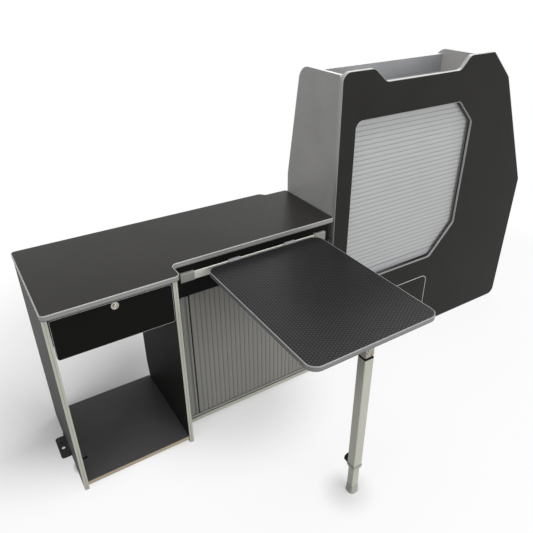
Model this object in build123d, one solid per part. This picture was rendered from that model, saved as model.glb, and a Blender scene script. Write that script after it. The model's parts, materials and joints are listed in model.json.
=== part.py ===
from build123d import *
import os
from math import cos, degrees, pi, sin

# A camper kitchen unit: a low cabinet with a drawer and a sliding shutter, a table that hooks on
# a rail and stands on one folding leg, and a tall cupboard with a lifting shutter and a flap.
# Layout frame while modelling: X along the unit from the worktop's left end, Y to the rear from
# the worktop's front edge, Z up from the floor. Millimetres.

# ---------------------------------------------------------------- boards and clearances
board = 15.0                 # carcass board
edge_band = 1.5              # glued edge band
seam = 0.3                   # parts that lie side by side without touching
running = 0.05               # radial clearance of a turning or sliding round fit
slide_gap = 0.3              # clearance of a flat sliding fit
past = 1.0                   # a cutter runs this far past what it cuts

# ---------------------------------------------------------------- worktop
worktop_length = 1038.0
worktop_front = -3.0         # front edge, ahead of the layout's Y = 0
worktop_depth_left = 426.0
worktop_depth_right = 403.0
worktop_top = 700.0
worktop_thick = 18.0
worktop_edge = 2.5
worktop_corner = 14.0
recess_inset = 11.0          # front edge steps back this far right of the divider's face
recess_depth = 70.5
recess_radius = 18.0
recess_end_radius = 9.0      # corner beside the tall cupboard
rear_step_in = 114.0         # rear step, from the worktop's right end
rear_step_run = 16.0
rear_step_depth = 20.0

# ---------------------------------------------------------------- low carcass
left_inset = 1.0             # left panel behind the worktop's left edge
front_inset = 4.0            # panel fronts behind the worktop's front edge
panel_depth = 396.0
bay_width = 363.0
panel_foot_round = 4.0
divider_cut_high = 100.0     # slanted cut at the divider's rear foot
divider_cut_deep = 17.0
base_gap = 14.0
base_inset = 4.3
base_depth = 386.0
pipe_slot_length = 18.0
pipe_slot_width = 13.0
pipe_slot_in = 19.0          # slot centre from the left panel
pipe_slot_back = 105.0       # slot centre from the base board's front
bracket_length = 103.0
bracket_reach = 33.0
bracket_plate = 5.0
bracket_leaf = 3.0
bracket_leaf_high = 24.0
bracket_back = 171.0         # bracket's front end behind the panel front
bracket_corner = 10.0
bracket_screw_in = 16.0      # bracket screws from its ends
bolt_hole_radius = 6.5
bolt_hole_back = 48.0        # hole from the bracket's front end
bolt_recess_length = 36.0
bolt_recess_width = 19.0
bolt_recess_deep = 2.0
screw_radius = 2.0
screw_head_radius = 4.2
screw_head_high = 2.0
screw_grip = 12.0            # screw length in the wood

# ---------------------------------------------------------------- drawer
drawer_gap = 3.0
drawer_front_high = 136.0
drawer_front_top_gap = 6.0
drawer_corner = 8.0
drawer_wall = 10.0
drawer_side_high = 95.0
drawer_side_raise = 16.0     # sides' lower edge above the front's
drawer_deep = 340.0
drawer_bottom_thick = 5.0
drawer_groove = 5.0
runner_high = 35.0
runner_wide = 12.0
runner_sheet = 1.2
runner_lip = 7.0
runner_raise = 25.0          # runner's lower edge above the drawer side's
runner_length = 355.0
runner_neck_gap = 2.3        # moving bar's neck from the channel's lips
runner_side_gap = 1.0        # drawer side from the channel
drawer_edge = 1.2
lock_right_of_middle = 3.0
lock_ring_radius = 12.0
lock_ring_proud = 2.0
lock_barrel_radius = 10.5
lock_button_radius = 6.0
lock_dish_radius = 9.0
lock_dish_deep = 1.2
lock_button_length = 21.0
lock_button_proud = 3.2
lock_button_round = 1.0
lock_from_top = 13.5         # lock centre under the front's top edge
lock_box_wide = 26.0
lock_box_high = 27.0
lock_box_deep = 20.0
tongue_wide = 8.0
tongue_thick = 3.0
tongue_length = 20.0
tongue_proud = 4.0
tongue_wall = 3.0            # lock box's wall behind the tongue

# ---------------------------------------------------------------- cupboard under the worktop
front_plane = 76.7           # front face of the cupboard and of the tall front
cupboard_gap = 13.0
fascia_high = 115.0
fascia_end_gap = 20.0        # fascia stops short of the worktop's right end
top_board_drop = 94.0        # top board's lower face under the worktop's
cupboard_depth = 318.0
curtain_thick = 6.0
backing_thick = 0.4
curtain_back = 0.9           # slats' centre line behind the guide's centre line
guide_wide = 14.0
guide_groove = 9.0
guide_high = 8.0
guide_groove_deep = 6.0
low_guide_inset = 5.0        # low guide's front lip behind the front plane
low_turn_radius = 60.0       # both turns
low_guide_return = 290.0     # guide's rear leg, back to the left of the second turn
low_curtain_tail = 14.0      # curtain's straight end, behind the turn
slat_pitch = 18.2
slat_joint = 0.7             # gap between slats
slat_bulge = 0.9             # a slat's face bows forward in the middle
low_handle_wide = 60.0
low_handle_joint = 6.0
handle_grip_proud = 4.0
handle_grip_margin = 6.0
handle_grip_round = 1.0
low_grip_width = 14.0
low_grip_deep = 3.0
low_grip_shares = (0.3, 0.75)   # finger hollows across the handle

# ---------------------------------------------------------------- table rail
rail_drop = 55.0             # rail's lower edge under the worktop's underside
rail_wall = 2.0
rail_lip_wall = 1.5
rail_bead_radius = 2.0
rail_bead_back = 6.35        # bead centre in front of the front plane
rail_bead_height = 26.7      # bead centre above the rail's lower edge
rail_back_high = 20.0
rail_left_gap = 36.0         # left end cap from the divider's face
rail_right_gap = 41.0        # right end cap from the worktop's right end
cap_length = 48.0
cap_wall = 1.5
cap_room = 0.5
cap_corner = 3.0
liner_wall = 1.2
liner_arc = (-60, 210)       # degrees round the bead, 180 at the front
hook_arc = (-15, 180)
hook_wall = 2.5
hook_length = 43.0
hook_inset = 85.0            # first hook from the table's left edge
hook_right_inset = 96.0      # second hook from the table's right edge
hook_foot = 24.0
rail_screws_count = 5
rail_screw_in = 20.0         # first rail screw from the end cap
rail_screw_up = 12.0         # rail screws above the rail's lower edge

# ---------------------------------------------------------------- table
table_inset = 88.0           # table's left edge from the rail's left end
table_right_gap = 37.0       # table's right edge from the rail's right end
table_long = 576.0
table_thick = 16.5
table_drop = 1.0             # table's face under the rail bead's centre
table_edge = 2.5
table_corner = 34.0
edge_round_top = 1.0         # trims are rounded a little above and more below
edge_round_under = 2.2

# ---------------------------------------------------------------- leg
leg_right_of_middle = 7.0
leg_back = 55.0              # leg centre behind the table's front edge
tube_side = 32.0
tube_wall = 1.5
tube_round = 2.5
tube_bottom = 126.0
tube_drop = 43.0             # tube's end under the pin centre
pivot_drop = 36.0            # pin centre under the table
pin_radius = 4.0
pin_head_radius = 6.5
pin_head_thick = 2.0
pin_head_round = 1.2
bracket_sheet = 2.0
bracket_side = 29.0          # outside of the cheeks
bracket_foot_wide = 62.0
bracket_foot_corner = 6.0
bracket_foot_screw_in = 7.0  # foot's screws from its sides
cheek_radius = 38.0
stop_slots = ((-7.0, 24.0, 5.0, 2.5), (6.5, 4.5, 7.0, 4.0))   # across, up, high, wide
cheek_room = 0.3
block_flange = 3.0
block_plug = 36.0
block_side = 24.4
lower_side = 25.0
lower_round = 2.0
lower_bottom = 8.0
lower_length = 400.0
collar_drop = 17.0
collar_band_high = 7.7       # collar's straight band; a taper follows below
collar_bulge = 1.2
collar_nose_wall = 2.0
collar_sleeve = 40.0
knob_radius = 15.0
knob_thick = 12.0
knob_drop = 1.0              # knob centre under the upper tube's end
knob_screw_radius = 3.0
knob_lobes = 10
knob_lobe_radius = 5.1
knob_core_radius = 11.0
knob_edge_round = 1.0
boss_thick = 6.0
boss_wide = 20.0
boss_high = 24.0
boss_corner = 4.0
foot_side = 37.0
foot_round = 15.0
foot_high = 30.0
foot_lip = 5.0
foot_lip_round = 1.6
foot_flare_height = 14.0     # halfway section of the foot's flare
foot_top_wall = 1.3

# ---------------------------------------------------------------- tall cupboard
tall_gap = 6.0               # worktop's right end to the tall cupboard
tall_foot = 6.0
tall_top = 1197.0
tall_front_wide = 1067.0     # at the foot
hip_in = 3.0                 # outline's widest corner, in from the foot's
hip_up = 617.0
shoulder_in = 228.0
shoulder_drop = 101.0
right_peak_in = 339.0        # right peak's outer corner, in from the foot's
right_peak_wide = 130.0
right_slope = 46.0
left_peak_wide = 134.0
left_slope = 58.0
notch_drop = 48.0
foot_corner = 5.0
large_corner = 32.0
hip_corner = 35.0
shoulder_corner = 45.0
peak_corner = 14.0
notch_corner = 30.0
left_top_corner = 32.0
panel_top_drop = 9.0         # side panels' top edge under the front's peaks
tall_depth = 306.3           # side panels behind the front plane
rear_bend_height = 770.0
rear_bend_round = 60.0
rear_lean = 70.0
rear_foot_round = 3.0
panel_rear_round = 55.0
tall_body_wide = 693.3       # outer face to outer face of the side panels
tall_floor_gap = 30.0
shelf_height = 320.0
tray_drop = 112.0            # tray floor's lower face under the front's peaks
tray_back_at = 208.0         # tray back's front face behind the front plane
tray_back_drop = 29.0        # tray back's top edge under the front's peaks
window_left = 68.5           # window's left edge from the tall cupboard's left face
window_wide = 596.5
window_bottom = 370.0
window_drop = 164.0          # window's upper edge under the front's peaks
window_cut_wide = 86.0
window_cut_top = 86.0
window_cut_bottom_wide = 122.0
window_cut_bottom = 136.0
window_round = 28.0
window_edge = 1.5
tall_guide_back = 6.3        # guides behind the tall front's rear face
tall_turn_radius = 60.0      # both turns
tall_rear_run = 208.3        # rear leg of the guide behind the front plane
tall_guide_return = 550.0    # guide's rear leg, down from the second turn
tall_guide_under = 30.0      # guides start this far under the window
tall_curtain_tail = 30.0     # curtain's straight end, behind the first turn
tall_guide_thick = 10.0
tall_groove_deep = 8.0
tall_handle_high = 33.0
tall_grip_margin = 12.0      # grip's ends from the guides
tall_grip_high = 25.0
tall_grip_proud = 5.0
tall_grip_face = 6.0         # grip's upright front face; it slopes back above

# ---------------------------------------------------------------- flap
flap_left = 71.3             # flap's left edge from the tall cupboard's left face
flap_wide = 475.0
flap_bottom = 60.0
flap_top = 280.0
flap_round = 30.0
flap_edge = 3.0
flap_room = 2.0
hinge_leaf = 1.5
hinge_leaf_high = 24.0
hinge_length = 60.0
hinge_inset = 60.0
knuckle_radius = 3.0
hinge_pin_radius = 1.5
catch_wide = 30.0
catch_high = 26.0
catch_deep = 12.0

# ---------------------------------------------------------------- places worked out from the sizes
worktop_under = worktop_top - worktop_thick
left_x = left_inset + board                      # left panel's bay face
divider_x = left_x + bay_width                   # divider's bay face
cupboard_x = divider_x + board                   # divider's cupboard face
panel_front = front_inset
panel_rear = panel_front + panel_depth
recess_start = cupboard_x + recess_inset
tall_x = worktop_length + tall_gap               # tall cupboard's left face
tall_inside = tall_x + board
tall_right_x = tall_x + tall_body_wide - board   # right panel's inner face
tall_front_right = tall_x + tall_front_wide
board_back = front_plane + board                 # rear face of the fascia and the tall front
cupboard_end = tall_x - seam                     # right end of the cupboard's floor and top board
cupboard_floor_top = cupboard_gap + board
cupboard_rear = front_plane + cupboard_depth
fascia_bottom = worktop_under - fascia_high
top_board_bottom = worktop_under - top_board_drop
low_line = front_plane + low_guide_inset + guide_wide / 2
low_turn_x = cupboard_end - guide_wide / 2 - slide_gap
low_rear_line = cupboard_rear - guide_wide / 2 - slide_gap
low_first_slat = cupboard_x + seam + low_handle_wide + low_handle_joint
tall_panel_top = tall_top - panel_top_drop
tray_height = tall_top - tray_drop
tray_back_top = tall_top - tray_back_drop
window_top = tall_top - window_drop
tall_line = board_back + tall_guide_back + guide_wide / 2
tall_turn_z = tray_height - guide_wide / 2 - slide_gap
tall_rear_line = front_plane + tall_rear_run
tall_guide_start = window_bottom - tall_guide_under
tall_guide_end = tall_turn_z - tall_guide_return
tall_first_slat = window_bottom + tall_handle_high
rail_bottom = worktop_under - rail_drop
rail_left = cupboard_x + rail_left_gap           # outer end of the left end cap
rail_total = worktop_length - rail_right_gap - rail_left
bead_y = front_plane - rail_bead_back
bead_z = rail_bottom + rail_bead_height
table_rear = bead_y - rail_bead_radius - liner_wall - 2 * running - hook_wall
table_front = table_rear - table_long
table_top = bead_z - table_drop
table_under = table_top - table_thick
table_left = rail_left + table_inset
table_wide = rail_total - table_inset - table_right_gap
hook_first = table_left + hook_inset
hook_second = table_left + table_wide - hook_right_inset - hook_length
leg_x = table_left + table_wide / 2 + leg_right_of_middle
leg_y = table_front + leg_back
pivot_z = table_under - pivot_drop
tube_top = pivot_z - tube_drop
knob_height = tube_bottom - knob_drop


# ---------------------------------------------------------------- small helpers
def slab(x, y, z):
    """A board between two corners, given as (low, high) along each direction."""
    size = [high - low for low, high in (x, y, z)]
    middle = [(high + low) / 2 for low, high in (x, y, z)]
    return Pos(*middle) * Box(*size)


def outline(corners):
    """A face through (across, up, radius) corners, with each corner rounded to its radius."""
    points = [(across, up) for across, up, _ in corners]
    return make_face(FilletPolyline(*points, radius=[r for _, _, r in corners], close=True))


def block(across, up, radius=0.0):
    """A rectangular face between (low, high) limits, with equal rounded corners."""
    (left, right), (bottom, top) = across, up
    return outline([(left, bottom, radius), (right, bottom, radius),
                    (right, top, radius), (left, top, radius)])


def from_front(face, y):
    """A face drawn in X and Z, thickened between two Y values."""
    return Pos(0, y[1], 0) * extrude(Plane.XZ * face, y[1] - y[0])


def from_side(face, x):
    """A face drawn in Y and Z, thickened between two X values."""
    return Pos(x[0], 0, 0) * extrude(Plane.YZ * face, x[1] - x[0])


def from_above(face, z):
    """A face drawn in X and Y, thickened between two Z values."""
    return Pos(0, 0, z[0]) * extrude(face, z[1] - z[0])


def shrink(face, amount):
    return offset(face, -amount, kind=Kind.ARC)


def rod(centre, direction, radius, length):
    """A round bar from a point, along a direction."""
    return extrude(Plane(centre, z_dir=direction) * Circle(radius), length)


def screw(centre, direction, head_on_top=True):
    """A wood screw whose head sits on the surface at centre and whose shank goes along direction."""
    back = Vector(*direction) * -screw_head_high
    head = rod(Vector(*centre) + back, direction, screw_head_radius, screw_head_high)
    return head + rod(centre, direction, screw_radius, screw_grip)


# ---------------------------------------------------------------- worktop
def worktop_rear(x):
    """The rear edge runs slightly askew, to follow the vehicle wall."""
    return worktop_depth_left + (worktop_depth_right - worktop_depth_left) * x / worktop_length


def rounded_trim(plan, core, level):
    """A board's edge trim, rounded a little above and more below."""
    trim = from_above(plan - core, level)
    trim = fillet(trim.faces().sort_by(Axis.Z)[-1].outer_wire().edges(), edge_round_top)
    return fillet(trim.faces().sort_by(Axis.Z)[0].outer_wire().edges(), edge_round_under)


def worktop():
    step_start = worktop_length - rear_step_in
    step_end = step_start + rear_step_run
    plan = outline([
        (0, worktop_front, worktop_corner),
        (recess_start, worktop_front, recess_radius),
        (recess_start, recess_depth, recess_radius),
        (worktop_length, recess_depth, recess_end_radius),
        (worktop_length, worktop_rear(worktop_length) - rear_step_depth, worktop_corner),
        (step_end, worktop_rear(step_end) - rear_step_depth, worktop_corner),
        (step_start, worktop_rear(step_start), worktop_corner),
        (0, worktop_rear(0), worktop_corner),
    ])
    core = shrink(plan, worktop_edge)
    level = (worktop_under, worktop_top)
    return {"worktop_board": from_above(core, level),
            "worktop_edge_trim": rounded_trim(plan, core, level)}


# ---------------------------------------------------------------- low carcass
def bracket_screw_places():
    middle = panel_front + bracket_back + bracket_length / 2
    reach = bracket_length / 2 - bracket_screw_in
    height = (bracket_plate + bracket_leaf_high) / 2
    return [(left_inset - bracket_leaf, middle + side * reach, height) for side in (-1, 1)]


def low_carcass():
    body_front = panel_front + edge_band
    band = (panel_front, body_front)
    left_face = block((left_inset, left_x), (0, worktop_under))
    left_face = fillet(left_face.vertices().sort_by(Axis.Y)[:2], panel_foot_round)
    divider_face = block((divider_x, cupboard_x), (0, worktop_under))
    divider_face = fillet(divider_face.vertices().sort_by(Axis.Y)[:2], panel_foot_round)
    left_panel = from_front(left_face, (body_front, panel_rear))
    divider = from_front(divider_face, (body_front, panel_rear))
    cut = make_face(Polyline((panel_rear - divider_cut_deep, -past), (panel_rear + past, -past),
                             (panel_rear + past, divider_cut_high), (panel_rear, divider_cut_high),
                             (panel_rear - divider_cut_deep, base_gap), close=True))
    divider -= from_side(cut, (divider_x - past, cupboard_x + past))
    base_front = panel_front + base_inset
    base = slab((left_x, divider_x), (base_front, base_front + base_depth),
                (base_gap, base_gap + board))
    slot = Pos(left_x + pipe_slot_in, base_front + pipe_slot_back) * SlotOverall(
        pipe_slot_length, pipe_slot_width)
    base -= from_above(slot, (base_gap - past, base_gap + board + past))

    bracket_front = panel_front + bracket_back
    bracket_end = bracket_front + bracket_length
    plate = outline([(left_inset - bracket_reach, bracket_front, bracket_corner),
                     (left_inset, bracket_front, 0), (left_inset, bracket_end, 0),
                     (left_inset - bracket_reach, bracket_end, bracket_corner)])
    hole_x = left_inset - bracket_reach / 2
    hole_y = bracket_front + bolt_hole_back
    recess = Pos(hole_x, hole_y + (bolt_recess_length - bolt_recess_width) / 2) * Rot(0, 0, 90)
    bracket = from_above(plate, (0, bracket_plate))
    bracket -= from_above(recess * SlotOverall(bolt_recess_length, bolt_recess_width),
                          (bracket_plate - bolt_recess_deep, bracket_plate + past))
    bracket -= rod((hole_x, hole_y, -past), (0, 0, 1), bolt_hole_radius, bracket_plate + 2 * past)
    leaf = block((bracket_front, bracket_end), (0, bracket_leaf_high))
    leaf = fillet(leaf.vertices().sort_by(Axis.Y)[2:], bracket_corner)
    bracket += from_side(leaf, (left_inset - bracket_leaf, left_inset))
    screws = []
    for place in bracket_screw_places():
        hole = rod(place, (1, 0, 0), screw_radius, screw_grip)
        bracket -= hole
        left_panel -= hole
        screws.append(screw(place, (1, 0, 0)))
    for place in rail_screw_places():
        screws.append(screw(place, (0, 1, 0)))

    floor_band = slab((cupboard_x, cupboard_end), (front_plane, front_plane + edge_band),
                      (cupboard_gap, cupboard_floor_top))
    bands = from_front(left_face, band) + from_front(divider_face, band) + floor_band
    return {"left_side_panel": left_panel, "divider_panel": divider,
            "panel_edge_bands": bands, "base_board": base,
            "floor_bracket": bracket, "carcass_screws": Compound(children=screws)}


# ---------------------------------------------------------------- drawer
def drawer_runner(left):
    """Fixed channel and sliding bar of one runner, drawn for the left side or mirrored to the right."""
    low = worktop_under - drawer_front_top_gap - drawer_front_high + drawer_side_raise + runner_raise
    middle = low + runner_high / 2
    length = (panel_front + board + seam, panel_front + board + seam + runner_length)
    wall = left_x
    open_side = wall + runner_wide
    channel = block((wall, open_side), (low, low + runner_high))
    channel -= block((wall + runner_sheet, open_side - runner_sheet),
                     (low + runner_sheet, low + runner_high - runner_sheet))
    lip_opening = runner_high / 2 - runner_lip
    channel -= block((open_side - runner_sheet - past, open_side + past),
                     (middle - lip_opening, middle + lip_opening))
    head = block((wall + runner_sheet + slide_gap, open_side - runner_sheet - slide_gap),
                 (low + runner_sheet + slide_gap, low + runner_high - runner_sheet - slide_gap))
    neck_half = lip_opening - runner_neck_gap
    neck = block((open_side - runner_sheet - past, wall + drawer_side_gap()),
                 (middle - neck_half, middle + neck_half))
    rail = from_front(channel, length)
    bar = from_front(head + neck, (panel_front + board, panel_front + board + drawer_deep))
    if left:
        return rail, bar
    mirror_plane = Plane((left_x + divider_x) / 2 * Vector(1, 0, 0), z_dir=(1, 0, 0))
    return mirror(rail, about=mirror_plane), mirror(bar, about=mirror_plane)


def drawer_side_gap():
    """From the bay's wall to the drawer side's outer face."""
    return runner_wide + runner_side_gap


def lock_centre():
    return ((left_x + divider_x) / 2 + lock_right_of_middle,
            worktop_under - drawer_front_top_gap - lock_from_top)


def drawer():
    top = worktop_under - drawer_front_top_gap
    bottom = top - drawer_front_high
    front_face = block((left_x + drawer_gap, divider_x - drawer_gap), (bottom, top), drawer_corner)
    core = shrink(front_face, drawer_edge)
    front_y = (panel_front, panel_front + board)
    box_front = panel_front + board
    box_rear = box_front + drawer_deep
    side_left = left_x + drawer_side_gap()
    side_right = divider_x - drawer_side_gap()
    side_z = (bottom + drawer_side_raise, bottom + drawer_side_raise + drawer_side_high)
    floor_z = (side_z[0] + drawer_groove, side_z[0] + drawer_groove + drawer_bottom_thick)
    bottom_board = slab((side_left + drawer_groove, side_right - drawer_groove),
                        (box_front, box_rear), floor_z)
    sides = slab((side_left, side_left + drawer_wall), (box_front, box_rear), side_z)
    sides += slab((side_right - drawer_wall, side_right), (box_front, box_rear), side_z)
    sides -= bottom_board
    back = slab((side_left + drawer_wall, side_right - drawer_wall),
                (box_rear - drawer_wall, box_rear), (floor_z[1], side_z[1]))
    rails, bars = zip(*(drawer_runner(left) for left in (True, False)))

    lock_x, lock_z = lock_centre()
    ring = rod((lock_x, panel_front - lock_ring_proud, lock_z), (0, 1, 0), lock_ring_radius,
               lock_ring_proud)
    ring = chamfer(ring.faces().sort_by(Axis.Y)[0].edges(), lock_ring_proud / 3)
    barrel = rod((lock_x, panel_front, lock_z), (0, 1, 0), lock_barrel_radius, board)
    box_z = (top - lock_box_high, top)
    housing = ring + barrel + slab((lock_x - lock_box_wide / 2, lock_x + lock_box_wide / 2),
                                   (box_front, box_front + lock_box_deep), box_z)
    housing -= rod((lock_x, panel_front - lock_ring_proud - past, lock_z), (0, 1, 0), lock_dish_radius,
                   past + lock_dish_deep)
    button_y = panel_front - lock_ring_proud - lock_button_proud
    button = rod((lock_x, button_y, lock_z), (0, 1, 0), lock_button_radius, lock_button_length)
    button = fillet(button.faces().sort_by(Axis.Y)[0].edges(), lock_button_round)
    housing -= rod((lock_x, button_y, lock_z), (0, 1, 0), lock_button_radius + running,
                   lock_button_length + slide_gap)
    tongue_y = box_front + lock_box_deep - tongue_thick - tongue_wall
    tongue_top = top + tongue_proud
    tongue = slab((lock_x - tongue_wide / 2, lock_x + tongue_wide / 2),
                  (tongue_y, tongue_y + tongue_thick), (tongue_top - tongue_length, tongue_top))
    tongue = chamfer(tongue.faces().sort_by(Axis.Z)[-1].edges().sort_by(Axis.Y)[-1], tongue_thick / 2)
    channel_low = tongue_top - tongue_length - 2 * tongue_proud - slide_gap
    housing -= slab((lock_x - tongue_wide / 2 - slide_gap, lock_x + tongue_wide / 2 + slide_gap),
                    (tongue_y - slide_gap, tongue_y + tongue_thick + slide_gap), (channel_low, top + past))
    front = from_front(core, front_y) - barrel
    return {"drawer_front": front, "drawer_front_edging": from_front(front_face - core, front_y),
            "drawer_sides": sides, "drawer_back": back, "drawer_bottom": bottom_board,
            "drawer_runner_rails": Compound(children=list(rails)),
            "drawer_runner_slides": Compound(children=list(bars)),
            "lock_housing": housing, "lock_button": button, "lock_tongue": tongue}


# ---------------------------------------------------------------- shutters
def track_point(distance, start, turn, radius):
    """Place and heading at a distance along a track: straight, quarter turn, straight.

    The track is drawn in (depth, run): it climbs along run from (depth, start), turns about a
    corner at run = turn and then goes rearwards.
    """
    straight = turn - radius - start
    bend = radius * pi / 2
    if distance <= straight:
        return 0.0, start + distance, 0.0
    if distance <= straight + bend:
        angle = (distance - straight) / radius
        return radius * (1 - cos(angle)), turn - radius + radius * sin(angle), degrees(angle)
    return radius + distance - straight - bend, turn, 90.0


def slat_count(start, turn, radius, tail):
    """As many whole slats as fit on the straight, the bend and a tail behind the bend."""
    return int((turn - radius - start + radius * pi / 2 + tail) / slat_pitch)


def slat_faces(count, start, turn, radius, line):
    """The slats' cross-sections along a track, in (depth, run) coordinates."""
    half = (slat_pitch - slat_joint) / 2
    front = curtain_back - curtain_thick / 2
    rear = curtain_back + curtain_thick / 2
    bow = ThreePointArc((front + slat_bulge, half), (front, 0), (front + slat_bulge, -half))
    rest = Polyline((front + slat_bulge, -half), (rear, -half), (rear, half), (front + slat_bulge, half))
    section = make_face(bow.edges() + rest.edges())
    faces = []
    for index in range(count):
        depth, run, angle = track_point((index + 0.5) * slat_pitch, start, turn, radius)
        faces.append(Pos(line + depth, run) * Rot(0, 0, -angle) * section)
    return faces


def backing_face(length, start, turn, radius, line):
    """The backing sheet's cross-section, behind the slats all along."""
    inner = curtain_thick / 2 + curtain_back
    bend_radius = radius - inner
    past_bend = length - (turn - radius - start) - radius * pi / 2
    path = FilletPolyline((line + inner, start), (line + inner, turn - inner),
                          (line + radius + past_bend, turn - inner), radius=bend_radius)
    thicker = FilletPolyline((line + inner + backing_thick, start),
                             (line + inner + backing_thick, turn - inner - backing_thick),
                             (line + radius + past_bend, turn - inner - backing_thick),
                             radius=bend_radius - backing_thick)
    ends = Line(path @ 0, thicker @ 0), Line(path @ 1, thicker @ 1)
    return make_face(path.edges() + thicker.edges() + ends[0].edges() + ends[1].edges())


def guide_faces(points, radius):
    """Outer band and groove of a guide rail that follows a rounded route."""
    route = FilletPolyline(*points, radius=radius)
    longer = FilletPolyline(*stretched(points), radius=radius)
    return trace(route, guide_wide), trace(longer, guide_groove)


def stretched(points):
    """The same route, run past both ends, so that a groove is open there."""
    first, last = Vector(*points[0]), Vector(*points[-1])
    first += (first - Vector(*points[1])).normalized() * past
    last += (last - Vector(*points[-2])).normalized() * past
    return [(first.X, first.Y), *points[1:-1], (last.X, last.Y)]


def swap(face):
    """A face drawn in (depth, run) turned to (run, depth)."""
    return mirror(face, about=Plane((0, 0, 0), x_dir=(1, 1, 0), z_dir=(1, -1, 0)))


def low_cupboard():
    floor_board = slab((cupboard_x, cupboard_end), (front_plane + edge_band, cupboard_rear),
                       (cupboard_gap, cupboard_floor_top))
    fascia_x = (cupboard_x, worktop_length - fascia_end_gap)
    fascia = slab(fascia_x, (front_plane, board_back), (fascia_bottom, worktop_under))
    fascia -= slab((cupboard_x - past, worktop_length), (low_line - guide_wide / 2, board_back + past),
                   (fascia_bottom - past, top_board_bottom))
    top_board = slab((cupboard_x, cupboard_end), (board_back, cupboard_rear),
                     (top_board_bottom, top_board_bottom + board))
    for place in rail_screw_places():
        fascia -= rod(place, (0, 1, 0), screw_radius, screw_grip)

    points = [(cupboard_x, low_line), (low_turn_x, low_line), (low_turn_x, low_rear_line),
              (low_turn_x - low_guide_return, low_rear_line)]
    band, groove = guide_faces(points, low_turn_radius)
    bottom_z = (cupboard_floor_top, cupboard_floor_top + guide_high)
    top_z = (top_board_bottom - guide_high, top_board_bottom)
    bottom = from_above(band, bottom_z)
    bottom -= from_above(groove, (bottom_z[1] - guide_groove_deep, bottom_z[1] + past))
    top = from_above(band, top_z)
    top -= from_above(groove, (top_z[0] - past, top_z[0] + guide_groove_deep))

    curtain_z = (bottom_z[1] - guide_groove_deep + slide_gap, top_z[0] + guide_groove_deep - slide_gap)
    route = (low_first_slat, low_turn_x, low_turn_radius, low_line)
    count = slat_count(*route[:3], low_curtain_tail)
    slats = [from_above(swap(face), curtain_z) for face in slat_faces(count, *route)]
    backing = from_above(swap(backing_face(count * slat_pitch, *route)), curtain_z)

    handle_x = (cupboard_x + seam, cupboard_x + seam + low_handle_wide)
    front = low_line + curtain_back - curtain_thick / 2
    grip = block(handle_x, (front - handle_grip_proud, front + past), handle_grip_round)
    for share in low_grip_shares:
        middle = handle_x[0] + share * low_handle_wide
        grip -= Pos(middle, front - handle_grip_proud) * Ellipse(low_grip_width / 2, low_grip_deep)
    handle = slab(handle_x, (front, front + curtain_thick), curtain_z)
    handle += from_above(grip, (bottom_z[1] + handle_grip_margin, fascia_bottom - handle_grip_margin))
    return {"cupboard_floor": floor_board, "cupboard_fascia": fascia, "cupboard_top_board": top_board,
            "low_guide_bottom": bottom, "low_guide_top": top,
            "low_shutter_slats": Compound(children=slats), "low_shutter_backing": backing,
            "low_shutter_handle": handle}


# ---------------------------------------------------------------- table rail
def rail_screw_places():
    first = rail_left + cap_length + rail_screw_in
    step = (rail_total - 2 * (cap_length + rail_screw_in)) / (rail_screws_count - 1)
    height = rail_bottom + rail_screw_up
    return [(first + index * step, front_plane - rail_wall, height)
            for index in range(rail_screws_count)]


def ring_sector(inner, outer, angles):
    """A C-shaped face about the rail's bead, between two angles, with the front side at 180 degrees."""
    start, end = angles
    arc = CenterArc((bead_y, bead_z), (inner + outer) / 2, start, end - start)
    return trace(arc, outer - inner)


def hook_liner_radii():
    inner = rail_bead_radius + running
    return inner, inner + liner_wall


def table_rail():
    back_face = block((front_plane - rail_wall, front_plane), (rail_bottom, rail_bottom + rail_back_high))
    web = block((bead_y - rail_lip_wall, front_plane), (rail_bottom, rail_bottom + rail_wall))
    lip = block((bead_y - rail_lip_wall, bead_y), (rail_bottom, bead_z))
    bead = Pos(bead_y, bead_z) * Circle(rail_bead_radius)
    inset = cap_wall + cap_room
    rail = from_side(back_face + web + lip + bead,
                     (rail_left + inset, rail_left + rail_total - inset))
    for place in rail_screw_places():
        rail -= rod(place, (0, 1, 0), screw_radius, rail_wall)

    cap_front = bead_y - rail_bead_radius - cap_room - cap_wall
    cap_bottom = rail_bottom - cap_room - cap_wall
    cap_top = bead_z + rail_bead_radius + cap_room + cap_wall
    shell = outline([(cap_front, cap_bottom, cap_corner), (front_plane, cap_bottom, 0),
                     (front_plane, cap_top, 0), (cap_front, cap_top, cap_corner)])
    room = block((cap_front + cap_wall, front_plane + past), (cap_bottom + cap_wall, cap_top - cap_wall))
    ends = ((rail_left, 1), (rail_left + rail_total, -1))
    caps = []
    for end, inward in ends:
        solid = from_side(shell, sorted((end, end + inward * cap_length)))
        hollow_ends = end + inward * cap_wall, end + inward * (cap_length + past)
        hollow = from_side(room, sorted(hollow_ends))
        caps.append(solid - hollow)

    liner_inner, liner_outer = hook_liner_radii()
    liner = ring_sector(liner_inner, liner_outer, liner_arc)
    hook_inner = liner_outer + running
    hook_outer = hook_inner + hook_wall
    hook = ring_sector(hook_inner, hook_outer, hook_arc)
    hook += block((bead_y - hook_outer, bead_y - hook_inner), (table_under - hook_wall, bead_z))
    hook += block((table_rear - hook_foot, bead_y - hook_inner), (table_under - hook_wall, table_under))
    spans = [(first, first + hook_length) for first in (hook_first, hook_second)]
    liners = [from_side(liner, span) for span in spans]
    hooks = [from_side(hook, span) for span in spans]
    for place in hook_screw_places():
        for index, solid in enumerate(hooks):
            hooks[index] = solid - rod(place, (0, 0, 1), screw_radius, screw_grip)
    return {"rail_profile": rail, "rail_end_caps": Compound(children=caps),
            "hook_liners": Compound(children=liners), "table_hooks": Compound(children=hooks)}


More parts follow.
